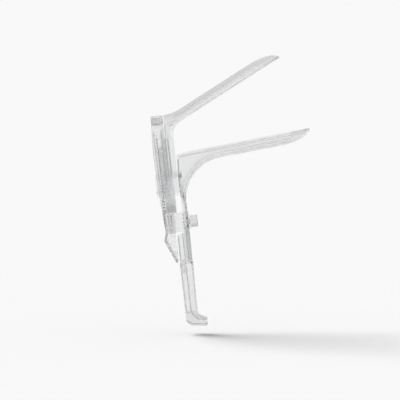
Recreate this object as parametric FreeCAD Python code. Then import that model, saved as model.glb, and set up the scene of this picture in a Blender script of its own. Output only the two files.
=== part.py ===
import FreeCAD, Part
import math
import os

# Single-use bivalve speculum in clear plastic, drawn with its blades open.
# Millimetres. X points along the blades to their tips, Y across, Z up the handle.
# The origin is on the middle plane, at the height of the foot's upper face,
# so that the handle rises straight up from it.

V = FreeCAD.Vector

# Lower blade
BLADE_LENGTH = 116.0        # from the rear edge of the rim to the tip
BLADE_TILT = 4.9            # rise of the rim towards the tip, degrees
BLADE_DEPTH = 10.3          # from the rim plane to the outside of the floor
BLADE_WALL = 1.9
BASE_HALF_WIDTH = 14.9
WAIST_HALF_WIDTH = 13.4
BILL_HALF_WIDTH = 14.6      # widest place, near the tip
BILL_ROUND = 15.0           # length over which the tip rounds off, seen from above
BILL_TAPER = 24.0           # length over which it gets shallower, seen from the side
RIM_REAR_X = 3.2            # rear edge of the lower blade's side walls
RIM_REAR_Z = 146.0
RIM_DROP = 0.9              # the rim falls off towards its rear end
RIM_DROP_LENGTH = 12.0
RIM_LIP = 0.5               # the rim's bead stands out by this much
RIM_BAND = 2.9              # height of the bead
THROAT_RADIUS = 36.3        # curve between the blade and the handle, outside
CORNER_DEPTH = 2.6          # rounding depth of the handle's front corners
ROUND_FLOOR = 0.92          # roundness of a trough's section: 1 is an ellipse
SQUARE_FLOOR = 0.84         # a little squarer, for the handle
THROAT_LEG = 27.0           # how far a section's side walls reach in at the handle
BILL_LEG = 6.0              # and along the blades
THROAT_BENDS = 5            # sections round the throat
FULL_WIDTH_SHARE = 0.62     # share of the bend after which the blade has its full width

# Upper blade
UPPER_LENGTH = 110.0        # along the rim, from its root to the tip
UPPER_DEPTH = 9.4
UPPER_ROOT_X = 7.7          # where the rim leaves the cheek, blades closed
OPEN_ANGLE = 21.7           # angle between the blades as drawn
YOKE_LIFT = 16.9            # how far the yoke stands above its closed height
RIM_GAP = 0.9               # between the two rims when closed
CHEEK_REAR_X = -8.8
CHEEK_FRONT_X = 2.4
ROOT_TOP_Z = 180.4          # top of the arched root of the upper blade
ROOT_REAR_X = -4.0
ROOT_SCOOP = 13.0           # radius between the cheek's front edge and the rim
ROOT_FLAT = 4.0             # the arch runs level over this length
ROOT_RISE = 0.6             # and rises by this much
ROOT_DEPTH = 10.8           # height of the arch's round part
ROOT_LEG = 10.0             # straight sides below it
ROOT_LENGTH = 14.0          # from the rim's root to the first section of the bill
SECTOR_RADIUS = 26.0        # toothed lower end of the cheeks, about the hinge
SECTOR_PITCH = 1.36
SECTOR_TOOTH = 0.8

# Hinge between the upper blade and the yoke
HINGE_X = -8.4              # in the smooth strip of the post, in front of its rack
HINGE_Z = 150.0
HINGE_PIN_RADIUS = 1.3
HINGE_HEAD_RADIUS = 1.9
HINGE_HEAD_HEIGHT = 1.0
HINGE_BOSS_RADIUS = 3.6

# Layers across, from the viewing window outwards
WINDOW_HALF_WIDTH = 14.2
ARM_THICK = 2.2
CHEEK_THICK = 2.4
POST_THICK = 3.2
EAR_THICK = 2.6

# Clearances
SEAT = 0.1                  # pieces that seat on each other
SIDE_GAP = 0.3              # pieces that slide or swing past each other
RUNNING = 0.05              # radial, pins in their holes
SLIDE_GAP = 0.15            # stem in its channel

# Yoke
POST_FRONT_X = -6.0
POST_TOP_Z = 172.2
POST_FOOT_Z = 80.4
POST_ROUND = 0.5
RACK_LOW_Z = 126.0
RACK_TEETH = 24
RACK_PITCH = 1.7
RACK_TOOTH = 1.1            # how far the teeth point backwards
RACK_FLANK = 0.3            # rise of a tooth's steep flank
RACK_DEPTH = 2.0            # depth of the rack's pocket in the post's outer face
RACK_LANE = 4.0             # smooth run below the first tooth
RACK_REAR_X = -14.0
RACK_FRONT_X = -10.9
TENON_REAR = 3.0            # from the cap's rear face to the tenon
TENON_FRONT = 1.5           # from the post's front face to the tenon
TENON_SIDE = 0.8            # from the post's sides to the tenon
TENON_HEIGHT = 2.5
CAP_TOP_Z = 180.0
CAP_REAR_X = -15.0
CAP_FRONT_X = -5.2
CAP_CORNER = 9.0
CAP_BAND = 4.4              # thickness of the arch over the window
CAP_GROOVES = 5
BRIDGE_REAR_X = -10.0
BRIDGE_FRONT_X = -4.1
BRIDGE_LOW_Z = 79.2
BRIDGE_TOP_Z = 95.2
BRIDGE_WALL = 1.8
STEM_THICK = 2.9
STEM_HALF_WIDTH = 8.4
STEM_LOW_Z = 52.4
NECK_HALF_WIDTH = 6.2

# Handle channel, part of the lower blade
CHANNEL_FRONT_X = 7.7
CHANNEL_REAR_X = -3.4
CHANNEL_HALF_WIDTH = 10.5
CHANNEL_WALL = 1.9
CHANNEL_STEP_Z = 76.4       # above this the side walls stop at the blade's rear edge
LIP_THICK = 1.9
SEAM_Z = 51.6               # joint between the channel and the grip
TONGUE_LOW_Z = 44.0
COLLAR_LOW_Z = 108.0
COLLAR_TOP_Z = 130.6
COLLAR_THICK = 2.8
COLLAR_FALL = 5.0           # the collar is lower between the ears than at them
EAR_REAR_X = -16.6

# Grip and foot
GRIP_HALF_WIDTH = 10.8
GRIP_FRONT_X = 7.8
GRIP_REAR_X = -3.6
GRIP_WALL = 1.8
GRIP_WEB_X = 1.5            # middle of the cross web
GRIP_WEB = 1.2
GRIP_TOE_X = 15.2
FOOT_THICK = 6.4
FOOT_TILT = 6.1             # the foot drops towards its toe
FOOT_LOW_Z = -1.7           # its underside, below the middle of the handle
TOE_BACK = 0.7              # the toe's end face leans forward by this much
TOE_ROUND = 1.8
HEEL_X = 1.5
HEEL_Z = 1.5
INSTEP_Z = 5.4
GRIP_TAPER = 0.3            # each side of the grip draws in towards the foot
GRIP_ROUND = 1.6            # rounding of the grip's and foot's side edges
CORE_LOW_Z = 9.0
PIN_X = -0.6
PIN_Z = 48.6
PIN_RADIUS = 1.2

# Height lock
LOCK_Z = 87.0
KNOB_RADIUS = 5.3
KNOB_LENGTH = 6.4
KNOB_RINGS = 2
KNOB_FLUTES = 16
FLANGE_THICK = 1.1
FLANGE_LOW_Z = 81.0
FLANGE_TOP_Z = 95.6
FLANGE_HALF_WIDTH = 7.0
BUSH_RADIUS = 4.6
SCREW_RADIUS = 2.6
SHOE_RADIUS = 3.3
SHOE_THICK = 1.3
SHOE_GAP = 0.1              # left between shoe and stem as drawn
SHOE_TRAVEL = 0.5

# Thumb lever
SILL_REAR_X = -9.9
SILL_FRONT_X = -1.6
SILL_LOW_Z = 96.6
SILL_TOP_Z = 105.0
SILL_WALL = 1.6
ARM_HALF_WIDTH = 3.4        # the arms' upper ends, round the hinge
LEVER_THICK = 2.2
LEVER_REAR_X = -13.4
TAB_HALF_WIDTH = 9.5
TAB_WEB = 1.8
TAB_KNEE_Z = 72.6           # the plate bends forward here, down to the tab
TAB_KNEE_BACK = 1.5         # how far the knee stands behind the plate
TAB_BEND_Z = 80.0
TAB_LOW_Z = 53.2
TAB_ROUND = 0.6
TAB_TIP_REAR_X = -6.3
TAB_TIP_FRONT_X = -4.4
PEG_X = -5.6
PEG_Z = 131.0
PEG_RADIUS = 1.7

# Ratchet pawls
PAWL_HUB_X = -11.0
PAWL_HUB_Z = 112.6
PAWL_HUB_RADIUS = 3.3
PAWL_PEG_RADIUS = 1.6
PAWL_GAP = 0.2              # between a pawl's tip and the tooth crests
LATCH_LOW_Z = 113.6
LATCH_TOP_Z = 128.2
LATCH_PIN_RADIUS = 0.8
LATCH_PIN_UP = 1.8          # from the latch's lower edge to its pin
LATCH_REAR_X = -15.0
LATCH_PIN_FRONT_X = -8.4
EAR_RIM = 2.6               # height of the ear below the latch's window
EAR_FALL = 9.0              # the collar's side edge starts this far above its lower edge

# Places worked out from the sizes above
ARM_IN = WINDOW_HALF_WIDTH
ARM_OUT = ARM_IN + ARM_THICK
CHEEK_IN = ARM_OUT + SEAT
CHEEK_OUT = CHEEK_IN + CHEEK_THICK
POST_IN = CHEEK_OUT + SIDE_GAP
POST_OUT = POST_IN + POST_THICK
EAR_IN = POST_OUT + SIDE_GAP
EAR_OUT = EAR_IN + EAR_THICK
TILT = math.radians(BLADE_TILT)
OPEN_TILT = math.radians(BLADE_TILT + OPEN_ANGLE)
THROAT_X = CHANNEL_FRONT_X + THROAT_RADIUS
THROAT_Z = (RIM_REAR_Z + (THROAT_X - RIM_REAR_X) * math.tan(TILT)
            - (BLADE_DEPTH + THROAT_RADIUS) / math.cos(TILT))
CAVITY_FRONT_X = CHANNEL_FRONT_X - CHANNEL_WALL
CAVITY_HALF_WIDTH = CHANNEL_HALF_WIDTH - CHANNEL_WALL
STEM_FRONT_X = CAVITY_FRONT_X - 2 * SLIDE_GAP
STEM_REAR_X = STEM_FRONT_X - STEM_THICK
LIP_FRONT_X = STEM_REAR_X - SLIDE_GAP
LIP_HALF_WIDTH = NECK_HALF_WIDTH + SIDE_GAP
FAR = 200.0                 # longer than the whole part, for cutting tools


def box(x0, x1, y0, y1, z0, z1):
    return Part.makeBox(x1 - x0, y1 - y0, z1 - z0, V(x0, y0, z0))


def cylinder_y(x, z, radius, y0, y1):
    return Part.makeCylinder(radius, y1 - y0, V(x, y0, z), V(0, 1, 0))


def cylinder_x(y, z, radius, x0, x1):
    return Part.makeCylinder(radius, x1 - x0, V(x0, y, z), V(1, 0, 0))


def rounded_wire(corners, place):
    """Closed wire through corners (a, b) or (a, b, radius), with each corner rounded."""
    points = [V(c[0], c[1], 0) for c in corners]
    radii = [c[2] if len(c) > 2 else 0.0 for c in corners]
    ends = []
    for i, corner in enumerate(points):
        before = (points[i - 1] - corner).normalize()
        after = (points[(i + 1) % len(points)] - corner).normalize()
        radius = radii[i]
        half = before.getAngle(after) / 2
        if radius == 0 or half > math.radians(89.5):
            ends.append((corner, None, corner))
            continue
        reach = radius / math.tan(half)
        inward = (before + after).normalize()
        middle = corner + inward * (radius / math.sin(half) - radius)
        ends.append((corner + before * reach, middle, corner + after * reach))
    edges = []
    for i, (start, middle, end) in enumerate(ends):
        if middle is not None:
            arc = [place(p.x, p.y) for p in (start, middle, end)]
            edges.append(Part.Arc(*arc).toShape())
        following = ends[(i + 1) % len(ends)][0]
        if end.distanceToPoint(following) > 1e-6:
            edges.append(Part.makeLine(place(end.x, end.y), place(following.x, following.y)))
    return Part.Wire(edges)


def side_plate(corners, y0, y1):
    """Plate whose outline is seen from the side, as (x, z) or (x, z, radius)."""
    wire = rounded_wire(corners, lambda x, z: V(x, y0, z))
    return Part.Face(wire).extrude(V(0, y1 - y0, 0))


def front_plate(corners, x0, x1):
    """Plate whose outline is seen from the front, as (y, z) or (y, z, radius)."""
    wire = rounded_wire(corners, lambda y, z: V(x0, y, z))
    return Part.Face(wire).extrude(V(x1 - x0, 0, 0))


def softened(plate, side, radius, top):
    """Rounds a plate's outline edges at y = side and, if it is there, y = -side, below z = top."""
    edges = []
    for edge in plate.Edges:
        middle = edge.BoundBox
        in_face = middle.YLength < 0.01 and abs(abs(middle.YMin) - side) < 0.01
        if in_face and middle.ZMin < top - 0.5:
            edges.append(edge)
    return plate.makeFillet(radius, edges)


def mirrored(shape):
    return shape.mirror(V(0, 0, 0), V(0, 1, 0))


def both_sides(shape):
    return [shape, mirrored(shape)]


def fuse(shapes):
    return shapes[0].multiFuse(shapes[1:]).removeSplitter()


def trough_wire(centre, down, half_width, depth, leg, square=ROUND_FLOOR):
    """U-shaped closed wire: a floor towards down, rounder or squarer, and two legs."""
    across = V(0, 1, 0)
    steps = 8
    points = []
    for i in range(steps + 1):
        turn = math.pi * i / steps
        side = math.copysign(abs(math.cos(turn)) ** square, math.cos(turn))
        fall = abs(math.sin(turn)) ** square
        points.append(centre + across * (half_width * side) + down * (depth * fall))
    floor = Part.BSplineCurve()
    floor.interpolate(Points=points, InitialTangent=down, FinalTangent=down * -1)
    right = centre + across * half_width - down * leg
    left = centre - across * half_width - down * leg
    edges = [floor.toShape(), Part.makeLine(points[-1], left)]
    edges += [Part.makeLine(left, right), Part.makeLine(right, points[0])]
    return Part.Wire(edges)


def bill_stations(length, start):
    """Distances along a blade, closer together where the tip rounds off."""
    straight = length - BILL_TAPER
    count = 5
    stations = [start + (straight - start) * i / count for i in range(count + 1)]
    stations += [straight + BILL_TAPER * u for u in (0.25, 0.5, 0.7, 0.85, 0.95, 0.985)]
    return stations


def bill_half_width(s, length):
    """Half width outside: wide at the root, waisted, wide again near the tip."""
    waist = 0.45 * length
    if s < waist:
        wave = (1 + math.cos(math.pi * s / waist)) / 2
        return WAIST_HALF_WIDTH + (BASE_HALF_WIDTH - WAIST_HALF_WIDTH) * wave
    wave = (1 - math.cos(math.pi * min(1, (s - waist) / (0.9 * length - waist)))) / 2
    return WAIST_HALF_WIDTH + (BILL_HALF_WIDTH - WAIST_HALF_WIDTH) * wave


def bill_closing(s, length, reach):
    """Factor from 1 to 0 that rounds the blade off over its last reach."""
    u = max(0.0, (s - (length - reach)) / reach)
    return math.sqrt(max(0.0, 1 - u * u))


def bill_wires(root, direction, down, length, depth, start, offset):
    """Sections of one blade. offset is negative for the inside, positive for a bead."""
    wires = []
    end = length + offset
    for s in bill_stations(end, start):
        narrowing = bill_closing(s, end, BILL_ROUND)
        half_width = max(1.0, (bill_half_width(s, length) + offset) * narrowing)
        fall = max(0.8, (depth + offset) * bill_closing(s, end, BILL_TAPER))
        wires.append(trough_wire(root + direction * s, down, half_width, fall, BILL_LEG - offset))
    return wires


def lower_form(offset):
    """The lower blade's whole form, swept from the handle round the throat to the tip."""
    axis = V(THROAT_X, 0, THROAT_Z)
    wires = []
    for i in range(THROAT_BENDS):
        share = i / THROAT_BENDS
        turn = math.pi - share * (math.pi / 2 - TILT)
        outward = V(math.cos(turn), 0, math.sin(turn))
        swell = math.sin(min(1.0, share / FULL_WIDTH_SHARE) * math.pi / 2)
        half_width = CHANNEL_HALF_WIDTH + (BASE_HALF_WIDTH - CHANNEL_HALF_WIDTH) * swell
        depth = CORNER_DEPTH + (BLADE_DEPTH - CORNER_DEPTH) * swell
        centre = axis + outward * (THROAT_RADIUS + depth)
        leg = THROAT_LEG + (BILL_LEG - THROAT_LEG) * share - offset
        square = SQUARE_FLOOR + (ROUND_FLOOR - SQUARE_FLOOR) * swell
        wires.append(trough_wire(centre, outward * -1, half_width + offset,
                                 depth + offset, leg, square))
    root = V(RIM_REAR_X, 0, RIM_REAR_Z)
    direction = V(math.cos(TILT), 0, math.sin(TILT))
    down = V(math.sin(TILT), 0, -math.cos(TILT))
    start = (THROAT_X - RIM_REAR_X) / math.cos(TILT) - (BLADE_DEPTH + THROAT_RADIUS) * math.tan(TILT)
    wires += bill_wires(root, direction, down, BLADE_LENGTH, BLADE_DEPTH, start, offset)
    return Part.makeLoft(wires, True, False)


def channel_form(offset):
    """The straight handle part of the lower blade, from the throat down to the seam."""
    centre = V(CHANNEL_FRONT_X - CORNER_DEPTH, 0, THROAT_Z)
    wire = trough_wire(centre, V(1, 0, 0), CHANNEL_HALF_WIDTH + offset,
                       CORNER_DEPTH + offset, THROAT_LEG - offset, SQUARE_FLOOR)
    return Part.Face(wire).extrude(V(0, 0, SEAM_Z - THROAT_Z))


def rim_z(x):
    return RIM_REAR_Z + (x - RIM_REAR_X) * math.tan(TILT)


def lower_blade():
    """Blade, throat, collar, ears and handle channel: one moulding."""
    tip_x = RIM_REAR_X + BLADE_LENGTH + 2
    keep = side_plate([(RIM_REAR_X, 0), (RIM_REAR_X, RIM_REAR_Z - RIM_DROP),
                       (RIM_REAR_X + RIM_DROP_LENGTH, rim_z(RIM_REAR_X + RIM_DROP_LENGTH), FAR),
                       (tip_x, rim_z(tip_x)), (tip_x, 0)], -FAR, FAR)
    band_top = side_plate([(RIM_REAR_X, RIM_REAR_Z - RIM_BAND), (RIM_REAR_X, RIM_REAR_Z + RIM_BAND),
                           (tip_x, rim_z(tip_x) + RIM_BAND), (tip_x, rim_z(tip_x) - RIM_BAND)],
                          -FAR, FAR)
    band_rear = box(RIM_REAR_X, RIM_REAR_X + RIM_BAND * 0.6, -FAR, FAR, THROAT_Z, RIM_REAR_Z)
    bead = lower_form(RIM_LIP).common(band_top.fuse(band_rear))
    shell = lower_form(0).fuse(bead).cut(lower_form(-BLADE_WALL)).common(keep)
    channel_keep = side_plate([(CHANNEL_REAR_X, SEAM_Z), (CHANNEL_REAR_X, CHANNEL_STEP_Z, 1.5),
                               (RIM_REAR_X, CHANNEL_STEP_Z + 1.2, 1.5), (RIM_REAR_X, THROAT_Z),
                               (CHANNEL_FRONT_X + 1, THROAT_Z), (CHANNEL_FRONT_X + 1, SEAM_Z)],
                              -FAR, FAR)
    channel = channel_form(0).cut(channel_form(-CHANNEL_WALL)).common(channel_keep)
    lip = box(LIP_FRONT_X - LIP_THICK, LIP_FRONT_X, LIP_HALF_WIDTH, CAVITY_HALF_WIDTH + 0.2,
              SEAM_Z, CHANNEL_STEP_Z - 1)
    tongue_rear = GRIP_REAR_X + GRIP_WALL + SEAT
    tongue_front = GRIP_WEB_X - GRIP_WEB / 2 - SEAT
    tongue_half = GRIP_HALF_WIDTH - GRIP_WALL - SEAT
    tongue = box(tongue_rear, tongue_front, -tongue_half, tongue_half, TONGUE_LOW_Z, SEAM_Z + 2.2)
    shoulder_z = COLLAR_TOP_Z - COLLAR_FALL
    collar = front_plate([(0, COLLAR_LOW_Z), (CHANNEL_HALF_WIDTH, COLLAR_LOW_Z, 4),
                          (EAR_OUT, COLLAR_LOW_Z + EAR_FALL, 6), (EAR_OUT, COLLAR_TOP_Z, 2),
                          (EAR_IN, COLLAR_TOP_Z), (CHEEK_OUT, shoulder_z, 3), (0, shoulder_z)],
                         RIM_REAR_X, RIM_REAR_X + COLLAR_THICK)
    ear_low = LATCH_LOW_Z - EAR_RIM
    ear = side_plate([(EAR_REAR_X, ear_low, 2), (EAR_REAR_X, COLLAR_TOP_Z, 2),
                      (RIM_REAR_X + COLLAR_THICK, COLLAR_TOP_Z),
                      (RIM_REAR_X + COLLAR_THICK, LATCH_LOW_Z + 4),
                      (RIM_REAR_X - 1, ear_low, 4)], EAR_IN, EAR_OUT)
    window = box(LATCH_REAR_X - SIDE_GAP, RACK_FRONT_X + SIDE_GAP, EAR_IN - 1, EAR_OUT + 1,
                 LATCH_LOW_Z - SIDE_GAP, LATCH_TOP_Z + SIDE_GAP)
    pin_y, pin_z = latch_pin_place()
    pin_hole = cylinder_x(pin_y, pin_z, LATCH_PIN_RADIUS + RUNNING / 2, EAR_REAR_X, LATCH_PIN_FRONT_X)
    ear = ear.cut(window).cut(pin_hole)
    inside = lower_form(-BLADE_WALL).common(keep)
    collar = collar.cut(inside)
    bush_hole = cylinder_x(0, LOCK_Z, BUSH_RADIUS + SEAT, CAVITY_FRONT_X - 1, CHANNEL_FRONT_X + 1)
    stem_slot = box(LIP_FRONT_X, STEM_FRONT_X + SLIDE_GAP, -STEM_HALF_WIDTH - SLIDE_GAP,
                    STEM_HALF_WIDTH + SLIDE_GAP, SEAM_Z - 1, BRIDGE_TOP_Z + 6)
    pin = cylinder_y(PIN_X, PIN_Z, PIN_RADIUS + SEAT / 2, -FAR, FAR)
    left = box(-FAR, FAR, 0, FAR, 0, 2 * FAR)
    half = shell.common(left)
    for piece in (channel.common(left), lip, tongue.common(left), collar, ear):
        half = half.fuse(piece)
    half = half.cut(bush_hole).cut(pin).cut(stem_slot)
    return half.fuse(mirrored(half)).removeSplitter()


def latch_pin_place():
    """Middle of the latch's pin, as (y, z)."""
    return (EAR_IN + EAR_OUT) / 2, LATCH_LOW_Z + LATCH_PIN_UP


def handle_grip():
    """Lower handle with two long cores and the forward foot."""
    toe_x = GRIP_TOE_X - TOE_BACK
    body = side_plate([(GRIP_REAR_X, SEAM_Z), (GRIP_REAR_X + GRIP_TAPER, HEEL_Z, 5),
                       (HEEL_X, foot_z(HEEL_X), 4), (toe_x, foot_z(toe_x), TOE_ROUND),
                       (GRIP_TOE_X, foot_z(GRIP_TOE_X) + FOOT_THICK, TOE_ROUND),
                       (GRIP_FRONT_X - 2 * GRIP_TAPER, INSTEP_Z, 6), (GRIP_FRONT_X, SEAM_Z)],
                      -GRIP_HALF_WIDTH, GRIP_HALF_WIDTH)
    body = softened(body, GRIP_HALF_WIDTH, GRIP_ROUND, SEAM_Z)
    inner = GRIP_HALF_WIDTH - GRIP_WALL
    front_core = box(GRIP_WEB_X + GRIP_WEB / 2, GRIP_FRONT_X - GRIP_WALL, -inner, inner,
                     CORE_LOW_Z, SEAM_Z + 1)
    rear_core = box(GRIP_REAR_X + GRIP_WALL, GRIP_WEB_X - GRIP_WEB / 2, -inner, inner,
                    CORE_LOW_Z, SEAM_Z + 1)
    pin = cylinder_y(PIN_X, PIN_Z, PIN_RADIUS + SEAT / 2, -FAR, FAR)
    return body.cut(front_core).cut(rear_core).cut(pin)


def foot_z(x):
    """Height of the foot's flat underside."""
    return FOOT_LOW_Z - x * math.tan(math.radians(FOOT_TILT))


def grip_pin():
    length = GRIP_HALF_WIDTH - 0.4
    return cylinder_y(PIN_X, PIN_Z, PIN_RADIUS, -length, length)


def lock_bush():
    """Flanged bush in the handle's front wall, which carries the lock screw."""
    flange = front_plate([(-FLANGE_HALF_WIDTH, FLANGE_LOW_Z, 2), (FLANGE_HALF_WIDTH, FLANGE_LOW_Z, 2),
                          (FLANGE_HALF_WIDTH, FLANGE_TOP_Z, 2), (-FLANGE_HALF_WIDTH, FLANGE_TOP_Z, 2)],
                         CHANNEL_FRONT_X + SEAT, CHANNEL_FRONT_X + SEAT + FLANGE_THICK)
    sleeve = cylinder_x(0, LOCK_Z, BUSH_RADIUS, CAVITY_FRONT_X, CHANNEL_FRONT_X + SEAT)
    bore = cylinder_x(0, LOCK_Z, SCREW_RADIUS + RUNNING, 0, 20)
    seat = cylinder_x(0, LOCK_Z, SHOE_RADIUS + RUNNING, 0,
                      STEM_FRONT_X + SHOE_GAP + SHOE_THICK + SHOE_TRAVEL + SEAT)
    return flange.fuse(sleeve).cut(bore).cut(seat)


def lock_knob():
    """Thumb screw: ringed and fluted head with its screw moulded on."""
    face = CHANNEL_FRONT_X + SEAT + FLANGE_THICK + SEAT
    head = cylinder_x(0, LOCK_Z, KNOB_RADIUS, face, face + KNOB_LENGTH)
    rims = [e for e in head.Edges if abs(e.CenterOfMass.x - face - KNOB_LENGTH) < 0.01]
    head = head.makeFillet(0.7, rims)
    for i in range(KNOB_RINGS):
        x = face + KNOB_LENGTH * (0.42 + 0.22 * i)
        ring = cylinder_x(0, LOCK_Z, KNOB_RADIUS + 1, x, x + 0.6)
        head = head.cut(ring.cut(cylinder_x(0, LOCK_Z, KNOB_RADIUS - 0.4, x, x + 0.6)))
    flutes = []
    for i in range(KNOB_FLUTES):
        turn = 2 * math.pi * i / KNOB_FLUTES
        reach = KNOB_RADIUS + 0.15
        flutes.append(cylinder_x(reach * math.cos(turn), LOCK_Z + reach * math.sin(turn), 0.45,
                                 face + KNOB_LENGTH * 0.78, face + KNOB_LENGTH + 1))
    head = head.cut(Part.makeCompound(flutes))
    dish = cylinder_x(0, LOCK_Z, KNOB_RADIUS - 1.6, face + KNOB_LENGTH - 0.6, face + KNOB_LENGTH + 1)
    end = STEM_FRONT_X + SHOE_GAP + SHOE_THICK + SHOE_TRAVEL + SEAT
    screw = cylinder_x(0, LOCK_Z, SCREW_RADIUS, end, face + 1)
    return head.cut(dish).fuse(screw)


def clamp_shoe():
    """Small disc that the lock screw presses against the stem."""
    x = STEM_FRONT_X + SHOE_GAP
    return cylinder_x(0, LOCK_Z, SHOE_RADIUS, x, x + SHOE_THICK)


def yoke_frame():
    """Two toothed posts, the bridge below the window and the stem in the handle."""
    post = side_plate([(-12.4, POST_FOOT_Z, 1), (-15.0, 120.0), (-16.0, HINGE_Z, 60),
                       (CAP_REAR_X, POST_TOP_Z), (POST_FRONT_X, POST_TOP_Z),
                       (POST_FRONT_X, BRIDGE_TOP_Z + 6, 4), (BRIDGE_FRONT_X, BRIDGE_TOP_Z, 3),
                       (BRIDGE_FRONT_X, BRIDGE_LOW_Z, 1), (BRIDGE_REAR_X, BRIDGE_LOW_Z, 1)],
                      POST_IN, POST_OUT)
    post = softened(post, POST_OUT, POST_ROUND, POST_TOP_Z)
    peg = cylinder_y(PAWL_HUB_X, PAWL_HUB_Z, PAWL_PEG_RADIUS, CHEEK_IN, POST_IN + 1)
    post = post.fuse(tenon(0)).fuse(peg).cut(rack_pocket())
    post = post.cut(cylinder_y(HINGE_X, HINGE_Z, HINGE_PIN_RADIUS + RUNNING / 2, 0, FAR))
    post = post.cut(cylinder_y(HINGE_X, HINGE_Z, HINGE_HEAD_RADIUS + SEAT,
                               POST_OUT - HINGE_HEAD_HEIGHT - SEAT, FAR))
    bridge = box(BRIDGE_REAR_X, BRIDGE_FRONT_X, -POST_OUT, POST_OUT, BRIDGE_LOW_Z, BRIDGE_TOP_Z)
    pockets = []
    edges = (0.9, NECK_HALF_WIDTH, NECK_HALF_WIDTH + BRIDGE_WALL, POST_IN - BRIDGE_WALL)
    for y0, y1 in ((edges[0], edges[1]), (edges[2], edges[3])):
        for z0, z1 in bridge_levels():
            pockets += both_sides(box(BRIDGE_REAR_X - 1, BRIDGE_FRONT_X - BRIDGE_WALL, y0, y1, z0, z1))
    bridge = bridge.cut(Part.makeCompound(pockets))
    neck = box(BRIDGE_FRONT_X, STEM_REAR_X, -NECK_HALF_WIDTH, NECK_HALF_WIDTH,
               BRIDGE_LOW_Z, BRIDGE_TOP_Z)
    stem = box(STEM_REAR_X, STEM_FRONT_X, -STEM_HALF_WIDTH, STEM_HALF_WIDTH, STEM_LOW_Z, BRIDGE_TOP_Z)
    return fuse(both_sides(post) + [bridge, neck, stem])


def tenon(gap):
    """Tenon on top of a post. The cap's mortise is the same form, larger by gap."""
    return box(CAP_REAR_X + TENON_REAR - gap, POST_FRONT_X - TENON_FRONT + gap,
               POST_IN + TENON_SIDE - gap, POST_OUT - TENON_SIDE + gap,
               POST_TOP_Z - 1, POST_TOP_Z + TENON_HEIGHT + gap)


def bridge_levels():
    """Two rows of pockets between the bridge's top, middle and bottom walls."""
    middle = (BRIDGE_LOW_Z + BRIDGE_TOP_Z) / 2
    half = BRIDGE_WALL / 2
    return ((BRIDGE_LOW_Z + BRIDGE_WALL, middle - half), (middle + half, BRIDGE_TOP_Z - BRIDGE_WALL))


def rack_pocket():
    """Pocket in the outer face of a post, with the ratchet teeth along its front wall."""
    top = RACK_LOW_Z + RACK_TEETH * RACK_PITCH
    corners = [(RACK_FRONT_X, RACK_LOW_Z - RACK_LANE), (RACK_REAR_X, RACK_LOW_Z - RACK_LANE),
               (RACK_REAR_X, top)]
    for i in range(RACK_TEETH, 0, -1):
        z = RACK_LOW_Z + i * RACK_PITCH
        corners.append((RACK_FRONT_X, z))
        corners.append((RACK_FRONT_X - RACK_TOOTH, z - RACK_PITCH + RACK_FLANK))
    corners.append((RACK_FRONT_X, RACK_LOW_Z))
    return side_plate(corners, POST_OUT - RACK_DEPTH, POST_OUT + 1)


def yoke_cap():
    """Arched cap that ties the two posts together over the window."""
    low = POST_TOP_Z + SEAT
    outer = front_plate([(-POST_OUT, low), (-POST_OUT, CAP_TOP_Z, CAP_CORNER * 0.8),
                         (POST_OUT, CAP_TOP_Z, CAP_CORNER * 0.8), (POST_OUT, low)],
                        CAP_REAR_X, CAP_FRONT_X)
    under = CAP_TOP_Z - CAP_BAND
    inner = front_plate([(-POST_IN, low - 1), (-POST_IN, under, CAP_CORNER * 0.45),
                         (POST_IN, under, CAP_CORNER * 0.45), (POST_IN, low - 1)],
                        CAP_REAR_X - 1, CAP_FRONT_X + 1)
    cap = outer.cut(inner)
    cap = cap.cut(tenon(SEAT)).cut(mirrored(tenon(SEAT)))
    pitch = (CAP_FRONT_X - CAP_REAR_X) / (CAP_GROOVES + 1)
    grooves = []
    for i in range(CAP_GROOVES):
        x = CAP_REAR_X + pitch * (i + 1)
        grooves.append(cylinder_y(x, CAP_TOP_Z + 0.25, 0.6, -12, 12))
    return cap.cut(Part.makeCompound(grooves))


def turned(point, angle):
    """A point of the side view turned about the hinge by angle in radians."""
    x = point[0] - HINGE_X
    z = point[1] - HINGE_Z
    return (HINGE_X + x * math.cos(angle) - z * math.sin(angle),
            HINGE_Z + x * math.sin(angle) + z * math.cos(angle))


def upper_rim_root():
    """The rim's root as drawn: its closed place, raised with the yoke and opened."""
    lift = YOKE_LIFT + RIM_GAP / math.cos(TILT)
    closed = (UPPER_ROOT_X, rim_z(UPPER_ROOT_X) + lift)
    return turned(closed, math.radians(OPEN_ANGLE))


def upper_side_outline():
    """Side view kept of the upper blade: cheek front, round scoop and straight rim."""
    root_x, root_z = upper_rim_root()
    slope = math.tan(OPEN_TILT)
    low = HINGE_Z - 40
    tip_x = root_x + UPPER_LENGTH + 20
    tip_z = root_z + (tip_x - root_x) * slope
    corner_z = root_z + (CHEEK_FRONT_X - root_x) * slope
    return [(ROOT_REAR_X - 1, low), (CHEEK_FRONT_X, low), (CHEEK_FRONT_X, corner_z, ROOT_SCOOP),
            (tip_x, tip_z), (tip_x, tip_z + 60), (ROOT_REAR_X - 1, tip_z + 60)]


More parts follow.
